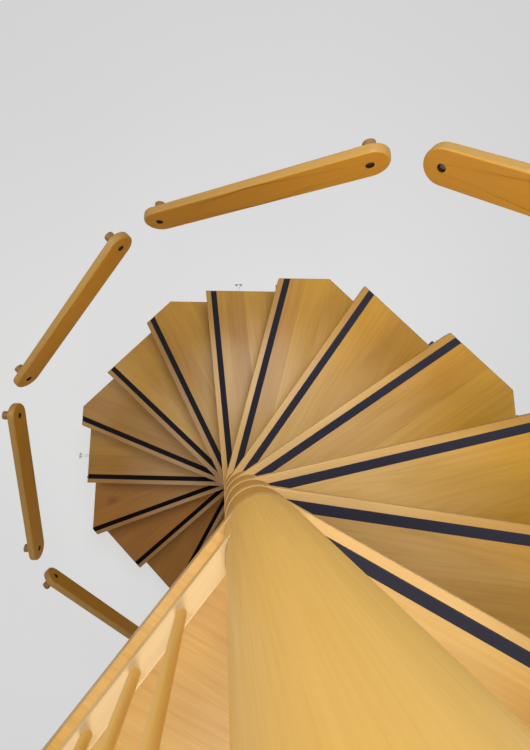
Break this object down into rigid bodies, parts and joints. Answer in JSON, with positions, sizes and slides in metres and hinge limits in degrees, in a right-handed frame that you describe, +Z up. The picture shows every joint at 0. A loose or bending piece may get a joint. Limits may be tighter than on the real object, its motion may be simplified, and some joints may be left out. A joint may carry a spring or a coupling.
{
  "type": "spiral staircase",
  "caption": "Wooden spiral stair in an octagonal well: wedge treads with inlaid black grip strips round a stacked newel, a landing with post and baluster guard, and straight wall handrails.",
  "frame": {"origin": "centre of the foot plate's underside on the newel's axis, on the lower floor", "axes": "+Z up the newel, -Y towards the landing, which is the side the stair is entered from above, +X to the right as seen from there"},
  "size_m": [2.234, 2.234, 3.816],
  "materials": {
    "board_wood": "satin varnish",
    "turned_wood": "satin varnish",
    "rail_wood": "satin varnish",
    "dowel_wood": "satin varnish",
    "grip": "ribbed matt",
    "pin": "white gloss",
    "plate": "matt",
    "dark_steel": "satin"
  },
  "bodies": {
    "root": {"foot_plate": "plate", "newel_drums": "turned_wood", "tread_01": "board_wood", "tread_02": "board_wood", "tread_03": "board_wood", "tread_04": "board_wood", "tread_05": "board_wood", "tread_06": "board_wood", "tread_07": "board_wood", "tread_08": "board_wood", "tread_09": "board_wood", "tread_10": "board_wood", "tread_11": "board_wood", "tread_12": "board_wood", "tread_13": "board_wood", "tread_14": "board_wood", "landing": "board_wood", "grip_strips": "grip", "wall_pins": "pin", "rest_pins": "dark_steel", "newel_post": "turned_wood", "post_cap": "turned_wood", "top_rail": "turned_wood", "bottom_rail": "turned_wood", "balusters": "turned_wood", "handrail_e": "rail_wood", "handrail_ne": "rail_wood", "handrail_n": "rail_wood", "handrail_nw": "rail_wood", "handrail_w": "rail_wood", "handrail_sw": "rail_wood", "handrail_dowels": "dowel_wood", "handrail_screws": "dark_steel"}
  },
  "joints": []
}
